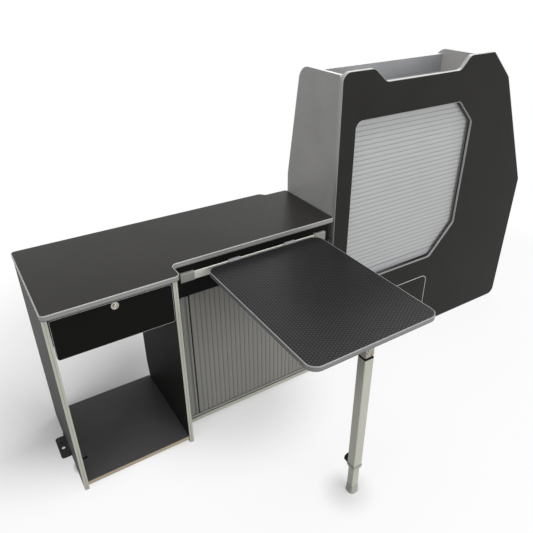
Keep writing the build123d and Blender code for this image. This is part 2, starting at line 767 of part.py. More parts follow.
# ---------------------------------------------------------------- table
def hook_screw_places():
    depth = table_rear - hook_foot / 2
    offsets = (hook_length / 4, hook_length * 3 / 4)
    return [(first + along, depth, table_under - hook_wall)
            for first in (hook_first, hook_second) for along in offsets]


def bracket_foot_screw_places():
    reach = bracket_foot_wide / 2 - bracket_foot_screw_in
    return [(leg_x + sx * reach, leg_y + sy * reach, table_under - bracket_sheet)
            for sx in (-1, 1) for sy in (-1, 1)]


def table():
    plan = block((table_left, table_left + table_wide), (table_front, table_rear), table_corner)
    core = shrink(plan, table_edge)
    level = (table_under, table_top)
    top = from_above(core, level)
    screws = []
    for place in hook_screw_places() + bracket_foot_screw_places():
        top -= rod(place, (0, 0, 1), screw_radius, screw_grip)
        screws.append(screw(place, (0, 0, 1)))
    return {"table_board": top, "table_edge_trim": rounded_trim(plan, core, level),
            "table_screws": Compound(children=screws)}


# ---------------------------------------------------------------- leg
def square_at_leg(side, radius=0.0):
    half = side / 2
    return block((leg_x - half, leg_x + half), (leg_y - half, leg_y + half), radius)


def leg_bracket_solid():
    """Folded steel: a foot under the table, two cheeks and a front stop with two slots."""
    half = bracket_side / 2
    foot = slab((leg_x - bracket_foot_wide / 2, leg_x + bracket_foot_wide / 2),
                (leg_y - bracket_foot_wide / 2, leg_y + bracket_foot_wide / 2),
                (table_under - bracket_sheet, table_under))
    foot = fillet(foot.edges().filter_by(Axis.Z), bracket_foot_corner)
    cheek = Pos(leg_y, pivot_z) * Circle(cheek_radius)
    cheek &= block((leg_y - half, leg_y + half), (pivot_z - cheek_radius, pivot_z))
    cheek += block((leg_y - half, leg_y + half), (pivot_z, table_under - bracket_sheet))
    cheeks = from_side(cheek, (leg_x - half, leg_x - half + bracket_sheet))
    cheeks += from_side(cheek, (leg_x + half - bracket_sheet, leg_x + half))
    stop_low = pivot_z - (cheek_radius ** 2 - half ** 2) ** 0.5
    stop = slab((leg_x - half, leg_x + half), (leg_y - half, leg_y - half + bracket_sheet),
                (stop_low, table_under - bracket_sheet))
    for across, up, high, wide in stop_slots:
        slot = Pos(leg_x + across, stop_low + up) * SlotOverall(high, wide, rotation=90)
        stop -= from_front(slot, (leg_y - half - past, leg_y - half + bracket_sheet + past))
    solid = foot + cheeks + stop
    for place in bracket_foot_screw_places():
        solid -= rod(place, (0, 0, 1), screw_radius, bracket_sheet)
    return solid - rod((leg_x - half - past, leg_y, pivot_z), (1, 0, 0), pin_radius,
                       bracket_side + 2 * past)


def leg_pin_solid():
    half = bracket_side / 2
    pin = rod((leg_x - half, leg_y, pivot_z), (1, 0, 0), pin_radius, bracket_side)
    for side in (-1, 1):
        head = rod((leg_x + side * half, leg_y, pivot_z), (side, 0, 0), pin_head_radius, pin_head_thick)
        outer_face = head.faces().sort_by(Axis.X)[-1 if side > 0 else 0]
        pin += fillet(outer_face.edges(), pin_head_round)
    return pin


def hinge_block_solid():
    half = block_side / 2
    room = bracket_side / 2 - bracket_sheet - cheek_room
    side_face = Pos(leg_y, pivot_z) * Circle(half)
    side_face += block((leg_y - half, leg_y + half), (tube_top + block_flange, pivot_z))
    solid = from_side(side_face, (leg_x - room, leg_x + room))
    solid += from_above(square_at_leg(tube_side, tube_round), (tube_top, tube_top + block_flange))
    solid += from_above(square_at_leg(tube_side - 2 * tube_wall, tube_round - tube_wall),
                        (tube_top - block_plug, tube_top))
    return solid - rod((leg_x - tube_side, leg_y, pivot_z), (1, 0, 0), pin_radius + running,
                       2 * tube_side)


def tube_solid(side, wall, radius, z):
    ring = square_at_leg(side, radius) - square_at_leg(side - 2 * wall, radius - wall)
    return from_above(ring, z)


def collar_solid():
    """Plastic clamp collar: a band below the upper tube, a sleeve inside it and a rear boss."""
    band_z = (tube_bottom - collar_drop, tube_bottom)
    bore = square_at_leg(lower_side + 2 * slide_gap, lower_round)
    wide = square_at_leg(tube_side + 2 * collar_bulge, tube_round)
    narrow = square_at_leg(lower_side + 2 * collar_nose_wall, lower_round)
    waist = tube_bottom - collar_band_high
    solid = from_above(wide, (waist, tube_bottom))
    solid += loft([Pos(0, 0, band_z[0]) * narrow, Pos(0, 0, waist) * wide])
    sleeve = square_at_leg(tube_side - 2 * tube_wall, tube_round - tube_wall)
    solid += from_above(sleeve, (tube_bottom, tube_bottom + collar_sleeve))
    rear = leg_y + tube_side / 2
    boss = block((leg_x - boss_wide / 2, leg_x + boss_wide / 2),
                 (knob_height - boss_high / 2, knob_height + boss_high / 2), boss_corner)
    solid += from_front(boss, (rear, rear + boss_thick))
    solid -= from_above(bore, (band_z[0] - past, tube_bottom + collar_sleeve + past))
    return solid - knob_screw_hole()


def knob_screw_hole():
    return rod((leg_x, leg_y, knob_height), (0, 1, 0), knob_screw_radius + running, tube_side * 2)


def knob_solid():
    """A lobed grip on a clamp screw that reaches the lower tube."""
    rear = leg_y + tube_side / 2 + boss_thick + slide_gap
    lobe_places = PolarLocations(knob_radius - knob_lobe_radius, knob_lobes)
    grip = Circle(knob_core_radius)
    grip += [place * Circle(knob_lobe_radius) for place in lobe_places]
    grip = from_front(Pos(leg_x, knob_height) * grip, (rear, rear + knob_thick))
    grip = fillet(grip.faces().sort_by(Axis.Y)[-1].edges(), knob_edge_round)
    tip = leg_y + lower_side / 2 + slide_gap
    return grip + rod((leg_x, tip, knob_height), (0, 1, 0), knob_screw_radius, rear - tip + past)


def foot_solid():
    base = square_at_leg(foot_side, foot_round)
    flare = square_at_leg((foot_side + lower_side) / 2, (foot_round + lower_round) / 2)
    top = square_at_leg(lower_side + 2 * foot_top_wall, lower_round + foot_top_wall)
    rim = from_above(base, (0, foot_lip))
    rim = fillet(rim.faces().sort_by(Axis.Z)[0].edges(), foot_lip_round)
    solid = rim + loft([Pos(0, 0, foot_lip) * base, Pos(0, 0, foot_flare_height) * flare,
                        Pos(0, 0, foot_high) * top])
    socket = from_above(square_at_leg(lower_side, lower_round), (lower_bottom, foot_high + past))
    return solid - socket


def leg():
    upper = tube_solid(tube_side, tube_wall, tube_round, (tube_bottom, tube_top)) - knob_screw_hole()
    lower = tube_solid(lower_side, tube_wall, lower_round, (lower_bottom, lower_bottom + lower_length))
    return {"leg_bracket": leg_bracket_solid(), "leg_pin": leg_pin_solid(),
            "leg_hinge_block": hinge_block_solid(), "leg_upper_tube": upper,
            "leg_collar": collar_solid(), "leg_clamp_knob": knob_solid(),
            "leg_lower_tube": lower, "leg_foot": foot_solid()}


# ---------------------------------------------------------------- tall cupboard
def tall_front_outline():
    notch = tall_top - notch_drop
    right_peak = tall_front_right - right_peak_in
    notch_right = right_peak - right_peak_wide - right_slope
    left_peak_end = tall_x + left_peak_wide
    return outline([
        (tall_x, tall_foot, foot_corner),
        (tall_front_right, tall_foot, large_corner),
        (tall_front_right - hip_in, tall_foot + hip_up, hip_corner),
        (tall_front_right - shoulder_in, tall_top - shoulder_drop, shoulder_corner),
        (right_peak, tall_top, peak_corner),
        (right_peak - right_peak_wide, tall_top, notch_corner),
        (notch_right, notch, notch_corner),
        (left_peak_end + left_slope, notch, notch_corner),
        (left_peak_end, tall_top, notch_corner),
        (tall_x, tall_top, left_top_corner)])


def window_outline():
    left = tall_x + window_left
    right = left + window_wide
    return outline([
        (left, window_bottom, window_round),
        (right - window_cut_bottom_wide, window_bottom, window_round),
        (right, window_bottom + window_cut_bottom, window_round),
        (right, window_top - window_cut_top, window_round),
        (right - window_cut_wide, window_top, window_round),
        (left, window_top, window_round)])


def flap_outline():
    left = tall_x + flap_left
    return block((left, left + flap_wide), (flap_bottom, flap_top), flap_round)


def tall_side_face():
    rear = front_plane + tall_depth
    return outline([(board_back, 0, 0), (rear, 0, rear_foot_round),
                    (rear, rear_bend_height, rear_bend_round),
                    (rear - rear_lean, tall_panel_top, panel_rear_round),
                    (board_back, tall_panel_top, 0)])


def tall_carcass():
    face = tall_front_outline()
    core = shrink(face, edge_band)
    window = window_outline()
    depth = (front_plane, board_back)
    front = from_front(core - window - offset(flap_outline(), flap_room, kind=Kind.ARC), depth)
    window_ring = from_front(window - shrink(window, window_edge), depth)
    side = tall_side_face()
    inside = (tall_inside, tall_right_x)
    rear = front_plane + tall_depth
    tray_front = front_plane + tray_back_at
    return {
        "tall_front_panel": front,
        "tall_front_edging": from_front(face - core, depth),
        "window_edging": window_ring,
        "tall_left_panel": from_side(side, (tall_x, tall_inside)),
        "tall_right_panel": from_side(side, (tall_right_x, tall_right_x + board)),
        "tall_floor_board": slab(inside, (board_back, rear), (tall_floor_gap, tall_floor_gap + board)),
        "tall_shelf": slab(inside, (board_back, rear - board), (shelf_height - board, shelf_height)),
        "tray_floor": slab(inside, (board_back, tray_front + 2 * board), (tray_height, tray_height + board)),
        "tray_back": slab(inside, (tray_front, tray_front + board), (tray_height + board, tray_back_top)),
    }


def tall_shutter():
    points = [(tall_line, tall_guide_start), (tall_line, tall_turn_z), (tall_rear_line, tall_turn_z),
              (tall_rear_line, tall_guide_end)]
    band, groove = guide_faces(points, tall_turn_radius)
    left = from_side(band, (tall_inside, tall_inside + tall_guide_thick))
    left -= from_side(groove, (tall_inside + tall_guide_thick - tall_groove_deep,
                               tall_inside + tall_guide_thick + past))
    right = from_side(band, (tall_right_x - tall_guide_thick, tall_right_x))
    right -= from_side(groove, (tall_right_x - tall_guide_thick - past,
                                tall_right_x - tall_guide_thick + tall_groove_deep))

    inset = tall_guide_thick - tall_groove_deep + slide_gap
    curtain_x = (tall_inside + inset, tall_right_x - inset)
    route = (tall_first_slat, tall_turn_z, tall_turn_radius, tall_line)
    count = slat_count(*route[:3], tall_curtain_tail)
    slats = [from_side(face, curtain_x) for face in slat_faces(count, *route)]
    backing = from_side(backing_face(count * slat_pitch, *route), curtain_x)

    front = tall_line + curtain_back - curtain_thick / 2
    handle_top = tall_first_slat - slat_joint
    handle = slab(curtain_x, (front, front + curtain_thick), (window_bottom, handle_top))
    grip_low = handle_top - tall_grip_high
    grip_front = front - tall_grip_proud
    grip = make_face(Polyline((front + past, grip_low), (grip_front, grip_low),
                              (grip_front, grip_low + tall_grip_face), (front, handle_top),
                              (front + past, handle_top), close=True))
    handle += from_side(grip, (tall_inside + tall_guide_thick + tall_grip_margin,
                               tall_right_x - tall_guide_thick - tall_grip_margin))
    return {"tall_shutter_guides": Compound(children=[left, right]),
            "tall_shutter_slats": Compound(children=slats), "tall_shutter_backing": backing,
            "tall_shutter_handle": handle}


# ---------------------------------------------------------------- flap
def flap():
    face = flap_outline()
    core = shrink(face, flap_edge)
    depth = (front_plane, board_back)
    axis_y = front_plane - knuckle_radius - seam
    axis_z = flap_bottom - flap_room / 2
    lefts = (tall_x + flap_left + hinge_inset,
             tall_x + flap_left + flap_wide - hinge_inset - hinge_length)
    fixed, moving, pins = [], [], []
    for left in lefts:
        third = hinge_length / 3
        span = (left, left + hinge_length)
        middle = (left + third, left + 2 * third)
        wider = (middle[0] - slide_gap, middle[1] + slide_gap)
        leaf_y = (front_plane - hinge_leaf, front_plane)
        across = (axis_y - 2 * knuckle_radius, front_plane)
        around = (axis_z - knuckle_radius - slide_gap, axis_z + knuckle_radius + slide_gap)
        knuckle = rod((left, axis_y, axis_z), (1, 0, 0), knuckle_radius, hinge_length)
        lower = slab(span, leaf_y, (axis_z - hinge_leaf_high, axis_z))
        lower_tab = slab(span, (axis_y, front_plane), (axis_z - hinge_leaf, axis_z))
        fixed_leaf = lower + knuckle + lower_tab - slab(wider, across, around)
        upper = slab(span, leaf_y, (around[1], axis_z + hinge_leaf_high))
        upper += slab(middle, leaf_y, (axis_z, around[1]))
        upper_tab = slab(middle, (axis_y, front_plane), (axis_z, axis_z + hinge_leaf))
        moving_leaf = upper + upper_tab + (knuckle & slab(middle, across, around))
        bore_start = (left - past, axis_y, axis_z)
        bore = rod(bore_start, (1, 0, 0), hinge_pin_radius, hinge_length + 2 * past)
        wide_bore = rod(bore_start, (1, 0, 0), hinge_pin_radius + running, hinge_length + 2 * past)
        fixed.append(fixed_leaf - bore)
        moving.append(moving_leaf - wide_bore)
        pins.append(rod((left, axis_y, axis_z), (1, 0, 0), hinge_pin_radius, hinge_length))
    catch_x = tall_x + flap_left + flap_wide / 2
    catch_low = flap_top - catch_high / 2
    catch = slab((catch_x - catch_wide / 2, catch_x + catch_wide / 2),
                 (board_back, board_back + catch_deep), (catch_low, catch_low + catch_high))
    catch -= slab((catch_x - catch_wide, catch_x + catch_wide), (board_back - past, board_back + seam),
                  (catch_low - past, flap_top + flap_room / 2))
    return {"flap_panel": from_front(core, depth), "flap_edging": from_front(face - core, depth),
            "flap_hinge_fixed_leaves": Compound(children=fixed),
            "flap_hinge_moving_leaves": Compound(children=moving),
            "flap_hinge_pins": Compound(children=pins), "flap_catch": catch}


# ---------------------------------------------------------------- export
def main():
    nodes = {}
    for group in (worktop, low_carcass, drawer, low_cupboard, table_rail, table, leg,
                  tall_carcass, tall_shutter, flap):
        nodes.update(group())
    os.makedirs("parts", exist_ok=True)
    middle_x = (left_inset - bracket_reach + tall_front_right) / 2
    middle_y = (table_front + worktop_rear(worktop_corner)) / 2
    place = Pos(-middle_x, -middle_y, 0)
    for name, shape in nodes.items():
        solids = [place * solid for solid in shape.solids()]
        export_step(Compound(children=solids), f"parts/{name}.step")


main()
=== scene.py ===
import json
from math import atan2, cos, hypot, pi, radians

import bmesh
import bpy
from mathutils import Matrix, Vector


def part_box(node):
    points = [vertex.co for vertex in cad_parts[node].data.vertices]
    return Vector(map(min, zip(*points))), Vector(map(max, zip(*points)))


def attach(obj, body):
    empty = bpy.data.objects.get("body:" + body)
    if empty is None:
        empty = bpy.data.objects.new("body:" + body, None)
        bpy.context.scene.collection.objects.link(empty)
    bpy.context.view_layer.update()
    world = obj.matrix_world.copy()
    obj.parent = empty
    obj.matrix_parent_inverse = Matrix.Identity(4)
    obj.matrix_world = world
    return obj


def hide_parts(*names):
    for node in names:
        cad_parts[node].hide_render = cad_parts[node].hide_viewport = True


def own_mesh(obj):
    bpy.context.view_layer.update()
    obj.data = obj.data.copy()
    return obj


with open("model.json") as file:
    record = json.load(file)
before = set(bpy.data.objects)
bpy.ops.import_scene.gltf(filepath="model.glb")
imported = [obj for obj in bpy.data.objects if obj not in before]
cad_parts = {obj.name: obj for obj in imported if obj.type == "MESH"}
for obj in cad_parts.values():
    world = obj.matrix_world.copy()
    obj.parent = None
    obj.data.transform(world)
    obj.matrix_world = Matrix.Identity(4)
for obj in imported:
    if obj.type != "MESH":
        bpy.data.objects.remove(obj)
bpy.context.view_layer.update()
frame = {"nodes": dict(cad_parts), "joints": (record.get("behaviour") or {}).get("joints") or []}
nodes = frame["nodes"]

merge_gap = 0.00001          # points closer than this are one point
smooth_angle = radians(35)   # edges flatter than this are shaded smooth
worktop_lead = 0.003         # the worktop's front edge, ahead of the panels' layout line
worktop_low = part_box("worktop_edge_trim")[0]
# the worktop's front left corner on the floor: camera, lights and floor shades are placed from it
corner = Vector((worktop_low.x, worktop_low.y + worktop_lead, 0))


# ---------------------------------------------------------------- material helpers
def tone(red, green, blue):
    """Screen values 0 to 255 as a linear colour."""
    def linear(value):
        share = value / 255
        return share / 12.92 if share <= 0.04045 else ((share + 0.055) / 1.055) ** 2.4
    return (linear(red), linear(green), linear(blue), 1.0)


def feed(tree, socket, value):
    """Sets a socket to a plain value, or links it when the value is another socket."""
    if isinstance(value, bpy.types.NodeSocket):
        tree.links.new(value, socket)
    else:
        socket.default_value = value


def node(tree, kind, inputs=None, **settings):
    made = tree.nodes.new("ShaderNode" + kind)
    for name, value in settings.items():
        setattr(made, name, value)
    for name, value in (inputs or {}).items():
        feed(tree, made.inputs[name], value)
    return made


def maths(tree, operation, first, second=0.0):
    return node(tree, "Math", {0: first, 1: second}, operation=operation).outputs[0]


def mixed(tree, share, first, second):
    """A colour between two others."""
    made = node(tree, "Mix", data_type="RGBA")
    feed(tree, made.inputs[0], share)
    feed(tree, made.inputs[6], first)
    feed(tree, made.inputs[7], second)
    return made.outputs[2]


def spread(tree, value, low, high):
    """Stretches a 0 to 1 value to another range."""
    return node(tree, "MapRange", {"Value": value, "To Min": low, "To Max": high}).outputs[0]


def step(tree, value, low, high):
    """0 at low and 1 at high, with a smooth rise between."""
    made = node(tree, "MapRange", {"Value": value, "From Min": low, "From Max": high},
                interpolation_type="SMOOTHSTEP")
    return made.outputs[0]


def place(tree):
    """Each point's place in the shared frame, in metres."""
    return node(tree, "TexCoord").outputs["Object"]


def facing(tree):
    """How squarely a face looks along X, Y and Z, from 0 to 1 each."""
    made = split(tree, node(tree, "TexCoord").outputs["Normal"])
    return [maths(tree, "ABSOLUTE", part) for part in made]


def split(tree, vector):
    return node(tree, "SeparateXYZ", {0: vector}).outputs


def noise(tree, scale, detail=2.0, stretch=(1, 1, 1)):
    """Uneven 0 to 1 spots; a small stretch value draws them out along that axis."""
    vector = node(tree, "Mapping", {"Vector": place(tree), "Scale": stretch}).outputs[0]
    return node(tree, "TexNoise", {"Vector": vector, "Scale": scale, "Detail": detail}).outputs["Fac"]


def wave(tree, value, period):
    """A soft 0 to 1 ripple along a value."""
    ripple = maths(tree, "SINE", maths(tree, "MULTIPLY", value, 2 * pi / period))
    return maths(tree, "ADD", maths(tree, "MULTIPLY", ripple, 0.5), 0.5)


def toned(tree, colour, value):
    """A colour, made lighter or darker by a value about 1."""
    return node(tree, "HueSaturation", {"Color": colour, "Value": value}).outputs[0]


def raised(tree, height, depth, strength, under):
    """A normal that shows a height as relief on top of another normal."""
    made = node(tree, "Bump", {"Height": height, "Distance": depth, "Strength": strength})
    feed(tree, made.inputs["Normal"], under)
    return made.outputs[0]


def softened(tree, radius):
    """A normal that rolls over hard edges."""
    return node(tree, "Bevel", {"Radius": radius}, samples=4).outputs[0]


def begin(name, colour, roughness, metallic=0.0, specular=0.5):
    """A new material in one plain finish, with its tree and its shader's inputs."""
    material = bpy.data.materials.new(name)
    material.use_nodes = True
    tree = material.node_tree
    shader = tree.nodes["Principled BSDF"].inputs
    shader["Base Color"].default_value = colour
    shader["Roughness"].default_value = roughness
    shader["Metallic"].default_value = metallic
    shader["Specular IOR Level"].default_value = specular
    return material, tree, shader


# ---------------------------------------------------------------- materials
cell_pitch = 0.00911         # from one row of the honeycomb pressed into the boards to the next
slat_pitch = 0.0182          # from one slat of a shutter to the next
rib_pitch = 0.0045           # ribs of the edge strips
brush_pitch = 0.0085         # slanted brush lines of the edge strips
thread_pitch = 0.0012        # threads of the backing cloth


def honeycomb(tree, lead, other):
    """Pressed honeycomb, 1 on a cell and 0 in the grooves; its rows run square to the lead value."""
    half = maths(tree, "MULTIPLY", lead, 0.5)
    lean = maths(tree, "MULTIPLY", other, 0.75 ** 0.5)
    ways = (lead, maths(tree, "ADD", half, lean), maths(tree, "SUBTRACT", half, lean))
    ripples = [maths(tree, "COSINE", maths(tree, "MULTIPLY", way, 2 * pi / cell_pitch))
               for way in ways]
    total = maths(tree, "ADD", ripples[0], maths(tree, "ADD", ripples[1], ripples[2]))
    return step(tree, total, -1.0, 0.6)


def laminate(name, light, dark, lead, other, roughness, specular, relief):
    """Board face pressed with a fine honeycomb; lead and other are 0, 1 or 2 for X, Y or Z."""
    material, tree, shader = begin(name, light, roughness, specular=specular)
    axes = split(tree, place(tree))
    cells = honeycomb(tree, axes[lead], axes[other])
    cloud = noise(tree, 6, 4)
    rub = noise(tree, 30, 5)
    colour = toned(tree, mixed(tree, cells, dark, light), spread(tree, cloud, 0.8, 1.2))
    feed(tree, shader["Base Color"], colour)
    sheen = maths(tree, "ADD", spread(tree, rub, -0.04, 0.05), spread(tree, cells, 0.04, -0.04))
    feed(tree, shader["Roughness"], maths(tree, "ADD", sheen, roughness))
    feed(tree, shader["Normal"], raised(tree, cells, 0.0003, relief, softened(tree, 0.0006)))
    return material


def banded_board(name, face, edge, lead, other, flat):
    """A laminated board whose narrow sides carry a paler edge band; flat is the axis of its faces."""
    groove = tuple(0.93 * part for part in face[:3]) + (1.0,)
    material = laminate(name, face, groove, lead, other, 0.42, 0.35, 0.12)
    tree = material.node_tree
    shader = tree.nodes["Principled BSDF"].inputs
    printed = shader["Base Color"].links[0].from_socket
    grain = toned(tree, edge, spread(tree, noise(tree, 90, 3, (0.2, 0.2, 1)), 0.9, 1.08))
    on_face = step(tree, facing(tree)[flat], 0.4, 0.8)
    feed(tree, shader["Base Color"], mixed(tree, on_face, grain, printed))
    return material


def edging(name, colour, low=0.0, high=0.0):
    """Ribbed edge strip with faint brush lines. Between the heights low and high, where they are
    given, it has a lighter lip, a painted shadow line below it and painted shade on its lower part."""
    roughness, contrast = 0.4, 0.08
    material, tree, shader = begin(name, colour, roughness, metallic=0.3)
    x, y, z = split(tree, place(tree))
    brushed = maths(tree, "ADD", maths(tree, "SUBTRACT", maths(tree, "ADD", x, y), z),
                    spread(tree, noise(tree, 40, 2), -0.001, 0.001))
    ribs = wave(tree, z, rib_pitch)
    scratch = noise(tree, 260, 3, (1, 1, 0.25))
    value = maths(tree, "ADD", spread(tree, ribs, 1 - contrast, 1 + contrast),
                  spread(tree, wave(tree, brushed, brush_pitch), -0.04, 0.04))
    value = maths(tree, "ADD", value, spread(tree, scratch, -0.05, 0.05))
    if high > low:
        # painted shade on the lower part and a painted shadow line below the lip; the lip is lighter
        level = maths(tree, "DIVIDE", maths(tree, "SUBTRACT", z, low), high - low)
        lip = step(tree, level, 0.74, 0.84)
        painted_shade_low = step(tree, level, 0.36, 0.26)
        painted_shadow_line = maths(tree, "MULTIPLY", step(tree, level, 0.58, 0.64), step(tree, level, 0.76, 0.7))
        for share, off_it, on_it in ((lip, 0.84, 1.08), (painted_shade_low, 1.0, 0.68), (painted_shadow_line, 1.0, 0.68)):
            value = maths(tree, "MULTIPLY", value, spread(tree, share, off_it, on_it))
    feed(tree, shader["Base Color"], toned(tree, colour, value))
    feed(tree, shader["Roughness"], spread(tree, scratch, roughness + 0.06, roughness - 0.06))
    feed(tree, shader["Normal"], raised(tree, ribs, 0.0002, 0.25, softened(tree, 0.0008)))
    return material


def lipped_edging(name, colour, rear_shade_colour, front, rear):
    """Edge strip of an opening, from front to rear along Y: its rear part carries painted shade,
    darker than its lip.
    """
    material = edging(name, colour)
    tree = material.node_tree
    shader = tree.nodes["Principled BSDF"].inputs
    body = shader["Base Color"].links[0].from_socket
    y = split(tree, place(tree))[1]
    # painted shade: the rear part of the strip, back in the opening, is darkened
    painted_rear_shade = step(tree, y, front + 0.45 * (rear - front), front + 0.6 * (rear - front))
    feed(tree, shader["Base Color"], mixed(tree, painted_rear_shade, body, rear_shade_colour))
    return material


def pale_band(name, colour, seam_colour):
    """Two-ply edge band with a hairline seam down the middle of each panel's edge."""
    seam_edge, seam_core, seam_share = 0.0016, 0.0004, 0.55
    material, tree, shader = begin(name, colour, 0.45, specular=0.4)
    x = split(tree, place(tree))[0]
    grain = noise(tree, 500, 3, (1, 1, 0.03))
    cloud = noise(tree, 12, 3)
    value = maths(tree, "ADD", spread(tree, grain, -0.06, 0.06), spread(tree, cloud, 0.93, 1.05))
    colour_now = toned(tree, colour, value)
    seams = []
    for panel in ("left_side_panel", "divider_panel"):
        low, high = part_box(panel)
        middle = (low.x + high.x) / 2
        off = maths(tree, "ABSOLUTE", maths(tree, "SUBTRACT", x, middle))
        seams.append(step(tree, off, seam_edge, seam_core))
    seam = maths(tree, "MAXIMUM", *seams)
    feed(tree, shader["Base Color"], mixed(tree, maths(tree, "MULTIPLY", seam, seam_share),
                                           colour_now, seam_colour))
    feed(tree, shader["Roughness"], spread(tree, cloud, 0.4, 0.52))
    feed(tree, shader["Normal"], raised(tree, maths(tree, "SUBTRACT", grain, seam), 0.0002, 0.2,
                                        softened(tree, 0.0012)))
    return material


def plain_board(name, colour):
    """Smooth melamine face with a faint print."""
    roughness, speckle = 0.5, 0.06
    material, tree, shader = begin(name, colour, roughness, specular=0.4)
    fine = noise(tree, 500, 3)
    broad = noise(tree, 7, 3)
    value = maths(tree, "ADD", spread(tree, fine, -speckle, speckle), spread(tree, broad, 0.9, 1.1))
    feed(tree, shader["Base Color"], toned(tree, colour, value))
    feed(tree, shader["Roughness"], spread(tree, broad, roughness - 0.05, roughness + 0.06))
    feed(tree, shader["Normal"], raised(tree, fine, 0.00015, 0.2, softened(tree, 0.0006)))
    return material


def moulded(name, colour, roughness=0.45, grain=0.2, specular=0.5):
    """Moulded plastic with a fine spark-eroded skin."""
    material, tree, shader = begin(name, colour, roughness, specular=specular)
    fine = noise(tree, 1500, 2)
    broad = noise(tree, 25, 3)
    feed(tree, shader["Base Color"], toned(tree, colour, spread(tree, broad, 0.9, 1.1)))
    feed(tree, shader["Roughness"], spread(tree, broad, roughness - 0.06, roughness + 0.08))
    feed(tree, shader["Normal"], raised(tree, fine, 0.00008, grain, softened(tree, 0.0006)))
    return material


def upward_shadowed(name, colour, upward_shadow_colour):
    """Moulded plastic with painted shadow on the faces that look up."""
    material = moulded(name, colour)
    tree = material.node_tree
    shader = tree.nodes["Principled BSDF"].inputs
    body = shader["Base Color"].links[0].from_socket
    # painted shadow: the faces that look up are darkened
    upward_shadow = step(tree, split(tree, node(tree, "TexCoord").outputs["Normal"])[2], 0.3, 0.7)
    feed(tree, shader["Base Color"], mixed(tree, upward_shadow, body, upward_shadow_colour))
    return material


def drawn_metal(name, colour, along, roughness=0.3, metallic=1.0, contrast=0.09):
    """Metal with the fine lines of drawing along one axis: 0, 1 or 2 for X, Y or Z."""
    material, tree, shader = begin(name, colour, roughness, metallic)
    stretch = [1.0, 1.0, 1.0]
    stretch[along] = 0.03
    lines = noise(tree, 160, 4, stretch)
    fine = noise(tree, 1100, 2, stretch)
    cloud = noise(tree, 14, 3)
    value = maths(tree, "ADD", spread(tree, lines, 1 - contrast, 1 + contrast),
                  spread(tree, cloud, -0.04, 0.04))
    feed(tree, shader["Base Color"], toned(tree, colour, value))
    feed(tree, shader["Roughness"], spread(tree, cloud, roughness - 0.07, roughness + 0.1))
    feed(tree, shader["Normal"], raised(tree, fine, 0.00006, 0.2, softened(tree, 0.0008)))
    return material


def slat_profile(name, colour, way, start, joint=0.74):
    """Extruded slats with fine extrusion lines, painted shade towards each joint and a painted
    highlight on each slat's crown. The slats follow one another along the axis way from start on, and
    a lower joint value makes the painted shade at the joints darker."""
    roughness = 0.42
    material, tree, shader = begin(name, colour, roughness, specular=0.4)
    across = split(tree, place(tree))[way]
    count = maths(tree, "DIVIDE", maths(tree, "SUBTRACT", across, start), slat_pitch)
    phase = maths(tree, "FRACT", count)
    # painted shade towards each joint and a painted highlight on each slat's crown
    crown_light_joint_shade = maths(tree, "MULTIPLY", step(tree, phase, 0.0, 0.2), step(tree, phase, 1.0, 0.82))
    cloud = noise(tree, 6, 3)
    stretch = (1, 1, 0.02) if way == 0 else (0.02, 1, 1)
    lines = noise(tree, 700, 2, stretch)
    value = maths(tree, "MULTIPLY", spread(tree, crown_light_joint_shade, joint, 1.05), spread(tree, cloud, 0.95, 1.05))
    value = maths(tree, "ADD", value, spread(tree, lines, -0.03, 0.03))
    feed(tree, shader["Base Color"], toned(tree, colour, value))
    feed(tree, shader["Roughness"], spread(tree, cloud, roughness - 0.05, roughness + 0.08))
    feed(tree, shader["Normal"], raised(tree, lines, 0.0001, 0.25, softened(tree, 0.0005)))
    return material


def plywood(name, pale, dark):
    """Birch board: long grain on the faces and layered edges."""
    material, tree, shader = begin(name, pale, 0.55)
    grain = noise(tree, 30, 5, (0.06, 1.6, 1.6))
    ply_pitch = 0.0028
    layers = wave(tree, split(tree, place(tree))[2], ply_pitch)
    colour = toned(tree, mixed(tree, grain, dark, pale), spread(tree, layers, 0.86, 1.05))
    feed(tree, shader["Base Color"], colour)
    feed(tree, shader["Roughness"], spread(tree, grain, 0.5, 0.65))
    feed(tree, shader["Normal"], raised(tree, grain, 0.0002, 0.3, softened(tree, 0.0005)))
    return material


def raw_front_board(name, light, dark, pale, core, front):
    """A laminated board whose front edge, at the place front along Y, is left as bare plywood."""
    material = laminate(name, light, dark, 0, 1, 0.45, 0.14, 0.06)
    tree = material.node_tree
    shader = tree.nodes["Principled BSDF"].inputs
    printed = shader["Base Color"].links[0].from_socket
    ply_pitch, skin = 0.005, 0.002
    layers = wave(tree, split(tree, place(tree))[2], ply_pitch)
    wood = mixed(tree, maths(tree, "MULTIPLY", layers, noise(tree, 80, 4, (0.1, 1, 1))), pale, core)
    on_edge = maths(tree, "MULTIPLY", step(tree, facing(tree)[1], 0.3, 0.7),
                    step(tree, split(tree, place(tree))[1], front + 2 * skin, front + skin))
    feed(tree, shader["Base Color"], mixed(tree, on_edge, printed, wood))
    return material


def cloth_sheet(name, colour):
    """Woven cloth in a plain weave."""
    material, tree, shader = begin(name, colour, 0.85)
    places = split(tree, place(tree))
    threads = maths(tree, "MULTIPLY", wave(tree, places[0], thread_pitch),
                    wave(tree, places[2], thread_pitch))
    feed(tree, shader["Base Color"], toned(tree, colour, spread(tree, threads, 0.8, 1.3)))
    feed(tree, shader["Normal"], raised(tree, threads, 0.0002, 0.4, softened(tree, 0.0004)))
    return material


def paint(material, *names):
    """Gives a material to CAD pieces."""
    for name in names:
        for slot in nodes[name].material_slots:
            slot.material = material


